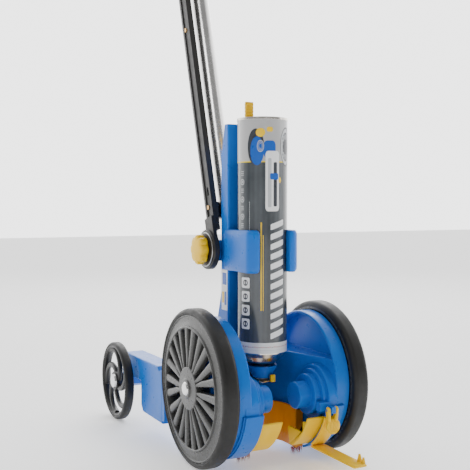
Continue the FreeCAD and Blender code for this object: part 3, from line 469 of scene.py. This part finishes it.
FOLD = Vector((0, 65, 270))
FOLD_TURN = SCALE @ Matrix.Translation(FOLD) @ Matrix.Rotation(math.radians(-90), 4, "Y")
KNOB_LOBES, KNOB_REACH, KNOB_WAVE = 8, 18.9, 1.55
HANDLE_LEAN, GRIP_LEAN = 16.6, 55.0
TUBE_X, TUBE_BACK, KNUCKLE_HEIGHT = -11.0, -4.0, 705.0
SLEEVE_RADIUS, SLEEVE_BORE, SLEEVE_LOW, SLEEVE_HIGH = 18.0, 15.05, 20.0, 119.0
SLEEVE_RINGS, RING_START, RING_PITCH = 19, 24.0, 4.8


def make_knob():
    """Eight soft lobes round a domed face."""
    bm = bmesh.new()
    # each level: how far out along the axis, its share of the full reach, how deep the lobes are
    levels = [(52.1, 0.78, 0.0), (53.6, 0.8, 0.0), (54.2, 0.97, 1.0), (55.2, 1.0, 1.0), (61.4, 0.985, 1.0),
              (63.0, 0.95, 0.95), (63.9, 0.88, 0.8), (64.5, 0.74, 0.45), (64.9, 0.55, 0.15),
              (65.15, 0.3, 0.0)]
    around = 96
    rows = []
    for height, size, wave in levels:
        row = []
        for step in range(around):
            angle = 2 * math.pi * step / around
            bulge = abs(math.cos(KNOB_LOBES / 2 * angle)) ** 0.8 * 2 - 1
            reach = size * (KNOB_REACH + KNOB_WAVE * wave * bulge)
            row.append(FOLD_TURN @ Vector((reach * math.cos(angle), reach * math.sin(angle), height)))
        rows.append(row)
    add_tube(bm, rows)
    finish_piece("clamp_knob_detail", bm, "knob", "yellow_plastic", ["clamp_knob"], sharp=50)


def make_hub_ring():
    """A light ring round the step of the hub."""
    bm = bmesh.new()
    add_lathe(bm, arc((22.4, 49.9), 0.75, 0, 315, 7), FOLD_TURN, 96)
    finish_piece("hub_ring", bm, "handle", "steel")


def make_grip_sleeve():
    """A rubber sleeve with rings moulded round it."""
    lean = math.radians(HANDLE_LEAN)
    tip = math.radians(HANDLE_LEAN + GRIP_LEAN)
    up = Vector((0.0, math.sin(lean), math.cos(lean)))
    back = Vector((0.0, math.cos(lean), -math.sin(lean)))
    head = Vector((TUBE_X, FOLD.y, FOLD.z)) + up * KNUCKLE_HEIGHT + back * TUBE_BACK
    turn = SCALE @ Matrix.Translation(head) @ Matrix.Rotation(-tip, 4, "X")
    outer = SLEEVE_RADIUS
    profile = [(SLEEVE_BORE, SLEEVE_LOW), (outer - 0.6, SLEEVE_LOW), (outer, SLEEVE_LOW + 0.6)]
    for ring in range(SLEEVE_RINGS):
        start = RING_START + ring * RING_PITCH
        profile += [(outer, start), (outer - 1.0, start + 0.6), (outer - 1.2, start + 1.4),
                    (outer - 1.0, start + 2.2), (outer, start + 2.8)]
    profile += [(outer, SLEEVE_HIGH - 0.8), (outer - 0.5, SLEEVE_HIGH), (SLEEVE_BORE, SLEEVE_HIGH)]
    bm = bmesh.new()
    add_lathe(bm, profile, turn, 96)
    finish_piece("grip_sleeve_detail", bm, "handle", "grip_rubber", ["grip_sleeve"])


make_knob()
make_hub_ring()
make_grip_sleeve()

# ---------------------------------------------------------------- the can's clip and label

CLIP_LOW, CLIP_HIGH, CLIP_BORE, CLIP_PILLOW = 244, 298, 33.0, 7.0
CUT_LOW, CUT_HIGH = CLIP_LOW - 4, CLIP_HIGH + 4
JAW_LOW, JAW_HIGH = Vector((-37.0, -38.0)), Vector((-21.5, 36.0))
MAST_HALF, MAST_FRONT = 34.0, 28.0
# how far a printed mark stands off the surface, so that the two don't flicker
PRINT_LIFT = 0.05


def subtract(thing, bm):
    """Cut a closed bmesh out of a piece, for good."""
    bmesh.ops.remove_doubles(bm, verts=bm.verts, dist=0.002 * MM)
    bmesh.ops.recalc_face_normals(bm, faces=bm.faces)
    mesh = bpy.data.meshes.new("cutter")
    bm.to_mesh(mesh)
    bm.free()
    cutter = bpy.data.objects.new("cutter", mesh)
    bpy.context.collection.objects.link(cutter)
    modifier = thing.modifiers.new("cut", "BOOLEAN")
    modifier.operation = "DIFFERENCE"
    modifier.solver = "EXACT"
    modifier.object = cutter
    bpy.context.view_layer.update()
    done = bpy.data.meshes.new_from_object(thing.evaluated_get(bpy.context.evaluated_depsgraph_get()))
    thing.modifiers.clear()
    old = thing.data
    thing.data = done
    bpy.data.meshes.remove(old)
    bpy.data.objects.remove(cutter)
    bpy.data.meshes.remove(mesh)


def make_clip_jaw(side):
    """A pillow-shaped jaw, bored to take the can and cut back for the mast."""
    sign = SIDES[side]
    plan = rounded_plan(JAW_LOW, JAW_HIGH, (12.0, 3.0, 2.0, 3.0))
    centre = Vector((-29.0, -2.0))
    half = (JAW_HIGH - JAW_LOW) / 2
    levels = []
    for step in range(7):
        angle = math.radians(90 * step / 6)
        inset = CLIP_PILLOW * (1 - math.sin(angle)) * 0.62
        levels.append((CLIP_LOW + CLIP_PILLOW * (1 - math.cos(angle)), inset))
    levels += [(CLIP_LOW + CLIP_HIGH - height, inset) for height, inset in reversed(levels)]
    bm = bmesh.new()
    rows = []
    for height, inset in levels:
        row = []
        for x, y in plan:
            across = (x - centre.x) * (1 - inset / half.x * 0.5)
            back = (y - centre.y) * (1 - inset / half.y)
            row.append(SCALE @ Vector((-sign * (centre.x + across), centre.y + back, height)))
        rows.append(row)
    add_tube(bm, rows)
    jaw = finish_piece(f"{side}_clip_jaw_detail", bm, "chassis", "blue_plastic", [f"{side}_clip_jaw"])
    cutters = bmesh.new()
    add_lathe(cutters, [(0, CUT_LOW), (CLIP_BORE, CUT_LOW), (CLIP_BORE, CUT_HIGH), (0, CUT_HIGH)],
              SCALE @ Matrix.Translation((0, CAN_Y, 0)), 128)
    subtract(jaw, cutters)
    cutters = bmesh.new()
    add_box(cutters, (-MAST_HALF, MAST_FRONT, CUT_LOW), (MAST_HALF, 60.0, CUT_HIGH))
    subtract(jaw, cutters)
    jaw.data.shade_smooth()
    jaw.data.set_sharp_from_angle(angle=math.radians(SHARP))


def add_patch(bm, middle, height, wide, tall, corner, lift=PRINT_LIFT, slant=0.0):
    """A flat mark on the can: middle in degrees round from the front, sizes in millimetres."""
    steps = max(4, int(wide / 1.2))
    radius = CAN_RADIUS + lift
    columns = []
    for step in range(steps + 1):
        across = -wide / 2 + wide * step / steps
        edge = wide / 2 - abs(across)
        trim = corner - math.sqrt(max(0.0, corner ** 2 - (corner - edge) ** 2)) if edge < corner else 0.0
        half = max(0.02, tall / 2 - trim)
        angle = math.radians(middle) + across / CAN_RADIUS
        column = []
        for level in (-half, half):
            column.append(bm.verts.new(Vector((radius * math.sin(angle), CAN_Y - radius * math.cos(angle),
                                               height + level + slant * across)) * MM))
        columns.append(column)
    for column, after in zip(columns, columns[1:]):
        bm.faces.new([column[0], after[0], after[1], column[1]])


def add_oval(bm, middle, height, wide, tall, lift=PRINT_LIFT, hole=0.0):
    """An oval mark, or a ring where hole is over 0, on the can."""
    steps = 40
    radius = CAN_RADIUS + lift

    def at(size, angle):
        turn = math.radians(middle) + wide / 2 * size * math.cos(angle) / CAN_RADIUS
        return bm.verts.new(Vector((radius * math.sin(turn), CAN_Y - radius * math.cos(turn),
                                    height + tall / 2 * size * math.sin(angle))) * MM)

    sizes = [hole + (1 - hole) * share / 4 for share in range(5)]
    rings = [[at(size, 2 * math.pi * step / steps) for step in range(steps)] for size in sizes]
    for ring, wider in zip(rings, rings[1:]):
        for step in range(steps):
            follow = (step + 1) % steps
            bm.faces.new([ring[step], wider[step], wider[follow], ring[follow]])


def finish_marks(name, bm, material):
    """Printed marks: faces look outwards, and are kept as thin skins."""
    thing = finish_piece(name, bm, "can", "can_print", material=material)
    for polygon in thing.data.polygons:
        outward = Vector((polygon.center.x, polygon.center.y - CAN_Y * MM, 0.0))
        if polygon.normal.dot(outward) < 0:
            polygon.flip()
    return thing


def make_label():
    """Generic printed marks on the can: stripes, rings, squares and an abstract badge."""
    white, pale, dark = bmesh.new(), bmesh.new(), bmesh.new()
    blue, yellow, red = bmesh.new(), bmesh.new(), bmesh.new()
    # slanted stripes down the front
    for number in range(12):
        add_patch(white, 8.0, 305.0 - 12.6 * number, 20.0, 7.4, 0.6, slant=0.32)
    # rings and short lines down the left side, then a dotted column
    for height in (359.0, 337.0, 315.0):
        add_oval(pale, -80.0, height, 7.0, 7.6, hole=0.72)
        add_oval(pale, -80.0, height, 2.4, 2.6)
    for height in (370.0, 348.0, 326.0, 304.0):
        for step in range(3):
            add_patch(pale, -80.0, height + 2.2 * step - 2.2, 5.2, 0.7, 0.1)
    for step in range(28):
        add_patch(pale, -58.5, 333.0 - 2.9 * step, 0.8, 1.9, 0.1)
    # squares with a ring and a bar
    for number in range(4):
        height = 231.0 - 17.5 * number
        add_patch(white, -70.0, height, 13.4, 13.4, 1.2)
        add_oval(dark, -70.0, height, 8.0, 8.0, lift=0.09, hole=0.62)
        add_patch(dark, -70.0, height, 2.0, 7.0, 0.4, lift=0.09)
    add_patch(yellow, -31.0, 252.0, 1.7, 112.0, 0.4)
    add_patch(yellow, -26.5, 244.0, 0.9, 96.0, 0.3)
    # ovals and arcs on the pale top
    add_oval(dark, -44.0, 403.0, 22.0, 46.0)
    add_oval(blue, -41.0, 398.0, 17.5, 36.0, lift=0.09)
    for number in range(3):
        add_oval(pale, -33.0, 404.0, 9.0 - 2.4 * number, 15.0 - 4.0 * number, lift=0.12 + 0.03 * number,
                 hole=0.86)
    add_patch(blue, -12.0, 400.0, 16.0, 22.0, 5.0, lift=0.07)
    add_oval(yellow, -33.0, 421.0, 12.0, 11.0, lift=0.13)
    add_patch(yellow, -12.0, 425.0, 8.0, 6.0, 1.5, lift=0.1)
    add_oval(dark, 38.0, 404.0, 26.0, 50.0, lift=0.06)
    add_oval(pale, 36.0, 404.0, 22.0, 46.0, lift=0.09, hole=0.8)
    for number in range(14):
        angle = 2 * math.pi * number / 14
        add_patch(pale, 36.0 + 14.0 * math.cos(angle), 404.0 + 13.0 * math.sin(angle), 1.6, 7.0, 0.6,
                  lift=0.1)
    # a badge of plain blocks
    add_patch(white, -5.0, 360.0, 19.0, 76.0, 4.0, lift=0.08)
    add_patch(pale, -12.0, 358.0, 4.6, 62.0, 1.0, lift=0.12)
    add_patch(dark, 1.5, 356.0, 5.0, 56.0, 1.0, lift=0.12)
    add_patch(blue, -1.0, 366.0, 12.0, 8.0, 1.5, lift=0.15)
    add_oval(yellow, 14.0, 361.5, 4.0, 7.4, lift=0.12)
    # small blocks round the foot
    draw = random.Random(7)
    for number in range(46):
        angle = -110.0 + 5.0 * number
        add_patch(red if number % 3 else dark, angle, 149.5 + draw.uniform(-0.3, 0.3), 1.5, 1.5, 0.7)
        add_patch(pale, angle + 2.4, 145.6, 1.6, 0.7, 0.1)
    for name, bm, material in (("white", white, "white_print"), ("pale", pale, "pale_print"),
                               ("dark", dark, "dark_print"), ("blue", blue, "blue_print"),
                               ("yellow", yellow, "yellow_print"), ("red", red, "red_print")):
        finish_marks(f"can_{name}_marks", bm, material)


for side in SIDES:
    make_clip_jaw(side)
make_label()

# ---------------------------------------------------------------- pointer

POINTER_X, POINTER_RADIUS, TONGUE_HEIGHT = 51.0, 95.0, 22.0
THUMB_X, THUMB_HEIGHT, THUMB_RADIUS = 50.5, 56.0, 9.6
EAR_Y, EAR_MIDDLE = -94.5, 72.0
SIGHT_X, SIGHT_FOOT = 59.0, 22.5


def slab(wide, thick, corner):
    """The cross-section of a strip, with round corners, about its middle."""
    return rounded_plan((-wide / 2, -thick / 2), (wide / 2, thick / 2), [corner] * 4, steps=4)


def add_strip(bm, path, sizes, corner, middle_x):
    """Sweep a flat strip along (y, z) points; its width lies along X."""
    rows = []
    last = len(path) - 1
    for step, ((y, z), (wide, thick)) in enumerate(zip(path, sizes)):
        ahead, behind = path[min(step + 1, last)], path[max(step - 1, 0)]
        along = Vector((0.0, ahead[0] - behind[0], ahead[1] - behind[1])).normalized()
        across = along.cross(Vector((1.0, 0.0, 0.0)))
        rows.append([SCALE @ (Vector((middle_x + a, y, z)) + across * b)
                     for a, b in slab(wide, thick, min(corner, 0.45 * thick, 0.45 * wide))])
    add_tube(bm, rows)


def make_pointer():
    """A curved strip with a long tongue, two splayed ears, a thumb lobe and a notched sight."""
    bm = bmesh.new()
    bow = around_axle(POINTER_RADIUS, 20.5, 1.5, 22)
    add_strip(bm, bow, [(20.0, 3.0)] * len(bow), 1.3, POINTER_X)
    tongue = [(y, TONGUE_HEIGHT) for y in (-56.5, -58.0, -62.0, -100.0, -144.0, -149.0, -151.0, -151.8)]
    add_strip(bm, tongue, [(19.0, 2.4), (20.0, 3.0), (20.0, 3.0), (20.0, 3.0), (20.0, 3.0), (19.4, 3.0),
                           (18.0, 2.6), (15.0, 1.6)], 1.2, POINTER_X)
    for middle, splay in ((43.0, -0.05), (54.0, 0.05)):
        rows = []
        for height, wide, deep in ((63.0, 4.0, 6.0), (66.0, 4.0, 7.4), (72.0, 4.0, 7.8), (77.0, 3.9, 7.8),
                                   (79.0, 3.5, 6.6), (80.3, 2.4, 4.2), (80.9, 1.0, 2.0)):
            centre = Vector((middle + splay * (height - EAR_MIDDLE), EAR_Y, height))
            rows.append([SCALE @ (centre + Vector((a, b, 0.0))) for a, b in slab(wide, deep, 0.46 * wide)])
        add_tube(bm, rows)
    thumb = Matrix.Translation((THUMB_X, -91.5, THUMB_HEIGHT)) @ Matrix.Rotation(math.radians(90), 4, "X")
    add_lathe(bm, [(0.0, 0.0), (THUMB_RADIUS, 0.0)] + arc((8.4, 2.6), 1.5, 0, 80, 5)
              + [(5.0, 4.45), (0.0, 4.5)], SCALE @ thumb, 64)
    for offset in (-5.0, -2.5, 0.0, 2.5, 5.0):
        reach = math.sqrt((THUMB_RADIUS - 1.0) ** 2 - offset ** 2)
        add_box(bm, (THUMB_X + offset - 0.45, -96.5, THUMB_HEIGHT - reach),
                (THUMB_X + offset + 0.45, -95.4, THUMB_HEIGHT + reach), 0.3)
    for low, high, tip in ((-148.0, -143.0, 30.4), (-141.0, -134.5, 32.4)):
        rows = []
        for share in (0.0, 0.3, 0.6, 0.85, 1.0):
            deep = (high - low) * (1.0 - 0.62 * share ** 1.6)
            centre = Vector((SIGHT_X, (low + high) / 2, SIGHT_FOOT + (tip - SIGHT_FOOT) * share))
            rows.append([SCALE @ (centre + Vector((a, b, 0.0)))
                         for a, b in slab(3.6 - 1.4 * share ** 2, deep, 1.0 - 0.2 * share)])
        add_tube(bm, rows)
    finish_piece("pointer_detail", bm, "pointer", "yellow_plastic", ["pointer"])


make_pointer()

# ---------------------------------------------------------------- spray shields

# distance in from the border, and how far the face falls there
SHIELD_EDGE = ((0.0, 0.95), (0.4, 0.35), (1.1, 0.0))
SHIELD_OUTER, SHIELD_INNER, SHIELD_WIDE = 89.0, 86.0, 38.0
# where a shield starts below the line that runs forwards, and how far it reaches, in degrees
SHIELD_START, SHIELD_SPAN = 23.0, 38.0


def make_shield(side, inner_x, dip):
    """A curved plate with rounded edges and a shallow scoop, and the fin that turns inwards."""
    sign = SIDES[side]
    across = list(SHIELD_EDGE) + [(2.0 + 34.0 * step / 20, 0.0) for step in range(21)]
    across += [(SHIELD_WIDE - x, drop) for x, drop in reversed(SHIELD_EDGE)]
    border = [(math.degrees(reach / SHIELD_OUTER), drop) for reach, drop in SHIELD_EDGE]
    down = list(border)
    down += [(1.2 + 35.6 * step / 24, 0.0) for step in range(25)]
    down += [(SHIELD_SPAN - turn, drop) for turn, drop in reversed(border)]
    bm = bmesh.new()
    rows = []
    for turn, end_drop in down:
        angle = math.radians(SHIELD_START + turn)
        outer, inner = [], []
        for x, side_drop in across:
            drop = min(1.2, side_drop + end_drop)
            scoop = dip * math.exp(-((x - 14.0) / 7.0) ** 2 - ((turn - 12.0) / 8.0) ** 2)
            for ring, radius in ((outer, SHIELD_OUTER - drop), (inner, SHIELD_INNER + drop)):
                radius -= scoop
                ring.append(SCALE @ Vector((sign * (inner_x + x), -radius * math.cos(angle),
                                            FRONT_RADIUS - radius * math.sin(angle))))
        rows.append(outer + inner[::-1])
    add_tube(bm, rows)
    plan = around_axle(SHIELD_INNER + 0.5, 27.6, 3.0, 13)
    plan += arc((-37.0, 43.0), 3.0, 0, 90, 4) + arc((-68.0, 48.0), 2.0, 270, 180, 4)
    plan += arc((-72.0, 58.0), 2.0, 0, 90, 4)
    add_tube(bm, [[SCALE @ Vector((sign * x, y, z)) for y, z in plan] for x in (inner_x, inner_x + 2.0)])
    finish_piece(f"{side}_shield_detail", bm, f"{side}_shield", "yellow_plastic", [f"{side}_shield"])


make_shield("left", 14.0, 1.8)
make_shield("right", 21.0, 0.4)

# ---------------------------------------------------------------- bristles

ROOT_HEIGHT, GUARD_ROOT_Y, SHROUD_RADIUS = 14.4, -25.3, 36.4


def add_bristle(bm, root, tip, width):
    """One tapered fibre with three sides that curls a little on its way down."""
    rows = []
    for step in range(4):
        share = step / 3
        centre = root.lerp(tip, share) + Vector((0.0, 0.4 * math.sin(math.pi * share), 0.0))
        size = width * (1.0 - 0.8 * share)
        rows.append([(centre + size * Vector((math.cos(turn), math.sin(turn), 0.0))) * MM
                     for turn in (0.0, 2.1, 4.2)])
    add_tube(bm, rows)


def make_brush(name, node, roots, seed):
    """Ragged fibres that hang from a strip of root points."""
    draw = random.Random(seed)
    bm = bmesh.new()
    for root in roots:
        for _ in range(2):
            start = Vector(root) + Vector((draw.uniform(-0.7, 0.7), draw.uniform(-1.2, 1.2), 0.0))
            drop = draw.choice((3.5, 5.0, 7.0, 8.5, 10.5))
            tip = start + Vector((draw.gauss(0, 1.1), draw.gauss(0, 1.1), -drop))
            add_bristle(bm, start, tip, draw.uniform(0.28, 0.5))
    finish_piece(name, bm, "chassis", "bristle", [node])


make_brush("guard_bristles", "guard_brushes",
           [(sign * (30.5 + 17.0 * step / 34), GUARD_ROOT_Y, ROOT_HEIGHT)
            for sign in (-1, 1) for step in range(35)], seed=11)
make_brush("shroud_bristles", "shroud_brush",
           [(x, y, ROOT_HEIGHT) for x, y in arc((0, CAN_Y), SHROUD_RADIUS, 50, 130, 40)], seed=12)

# ---------------------------------------------------------------- sticker on the mast


def add_side_patch(bm, y, z, wide, tall, lift, corner):
    """A flat mark on the mast's left face."""
    low, high = (y - wide / 2, z - tall / 2), (y + wide / 2, z + tall / 2)
    points = rounded_plan(low, high, [corner] * 4, steps=6)
    bm.faces.new([bm.verts.new(Vector((-MAST_HALF - lift, across, up)) * MM) for across, up in points])


def make_sticker():
    """A white sheet with generic blue and yellow blocks."""
    for name, material, marks in (
            ("sheet", "white_print", ((39.0, 217.0, 17.0, 54.0, 0.05, 1.5),)),
            ("blue", "blue_print", ((39.0, 232.0, 12.0, 16.0, 0.1, 1.0),
                                    (36.0, 206.0, 6.0, 18.0, 0.1, 1.0))),
            ("yellow", "yellow_print", ((43.0, 207.0, 5.5, 15.0, 0.1, 1.0),))):
        bm = bmesh.new()
        for y, z, wide, tall, lift, corner in marks:
            add_side_patch(bm, y, z, wide, tall, lift, corner)
        thing = finish_piece(f"mast_sticker_{name}", bm, "chassis", "blue_plastic", material=material)
        for polygon in thing.data.polygons:
            if polygon.normal.x > 0:
                polygon.flip()


make_sticker()

# ---------------------------------------------------------------- camera, light and floor

CAMERA_PLACE = Vector((-0.50414, -0.91535, 0.33113))
CAMERA_AZIMUTH = math.radians(26.98)
CAMERA_PITCH = math.radians(-2.21)
CAMERA_LENS = 61.4
# the sky's strength in front of and behind the object, and where it starts and stops to change,
# as the cosine of the angle from the camera's heading
SKY_FRONT, SKY_BACK = 0.3, 3.4
FADE_START, FADE_END = -0.3, 0.75
FLOOR_GLOW = 0.4
# place and aim in metres, power in watts, width and height in metres
LAMPS = {
    "key": ((-1.5, -1.3, 1.9), (0, 0, 0.2), 9.0, 0.7, 0.7),
    "fill": ((1.9, -0.9, 1.0), (0, 0, 0.2), 3.0, 0.35, 1.6),
    "rim": ((0.9, 1.8, 1.6), (0, 0, 0.3), 22.0, 1.4, 1.0),
}


def add_camera():
    lens = bpy.data.cameras.new("camera")
    lens.lens = CAMERA_LENS
    lens.sensor_width = 36.0
    camera = bpy.data.objects.new("camera", lens)
    bpy.context.collection.objects.link(camera)
    camera.location = CAMERA_PLACE
    camera.rotation_euler = (math.pi / 2 + CAMERA_PITCH, 0.0, -CAMERA_AZIMUTH)
    bpy.context.scene.camera = camera


def add_lamp(name, place, aim, power, wide, high):
    light = bpy.data.lights.new(name, "AREA")
    light.shape = "RECTANGLE"
    light.size = wide
    light.size_y = high
    light.energy = power
    lamp = bpy.data.objects.new(name, light)
    bpy.context.collection.objects.link(lamp)
    lamp.location = place
    lamp.rotation_euler = (Vector(aim) - Vector(place)).to_track_quat("-Z", "Y").to_euler()


def add_floor():
    """A pale floor with a faint glow, so that it reads as white."""
    bpy.ops.mesh.primitive_plane_add(size=14.0, location=(0, 0, 0))
    floor = bpy.context.object
    floor.name = "floor"
    shader = Shader("floor")
    cloud = shader.noise(3.0, 4.0)
    shader.set(Base_Color=shader.mix(shader.spread(cloud, 0, 1), colour(0.93, 0.93, 0.93),
                                     colour(0.955, 0.955, 0.95)), Roughness=0.75,
               Emission_Color=colour(1.0, 1.0, 1.0), Emission_Strength=FLOOR_GLOW)
    floor.data.materials.append(shader.material)


def add_world():
    """A studio sky that is bright behind the object and dim in front of it."""
    world = bpy.data.worlds.new("studio")
    world.use_nodes = True
    nodes, links = world.node_tree.nodes, world.node_tree.links
    sky = nodes["Background"]
    sky.inputs["Color"].default_value = (1.0, 1.0, 1.0, 1.0)
    heading = nodes.new("ShaderNodeTexCoord")
    facing = nodes.new("ShaderNodeVectorMath")
    facing.operation = "DOT_PRODUCT"
    facing.inputs[1].default_value = (math.sin(CAMERA_AZIMUTH), math.cos(CAMERA_AZIMUTH), 0.0)
    glow = nodes.new("ShaderNodeMapRange")
    for socket, value in ((1, FADE_START), (2, FADE_END), (3, SKY_FRONT), (4, SKY_BACK)):
        glow.inputs[socket].default_value = value
    links.new(heading.outputs["Generated"], facing.inputs[0])
    links.new(facing.outputs["Value"], glow.inputs[0])
    links.new(glow.outputs[0], sky.inputs["Strength"])
    bpy.context.scene.world = world


add_camera()
add_floor()
add_world()
for name, settings in LAMPS.items():
    add_lamp(name, *settings)
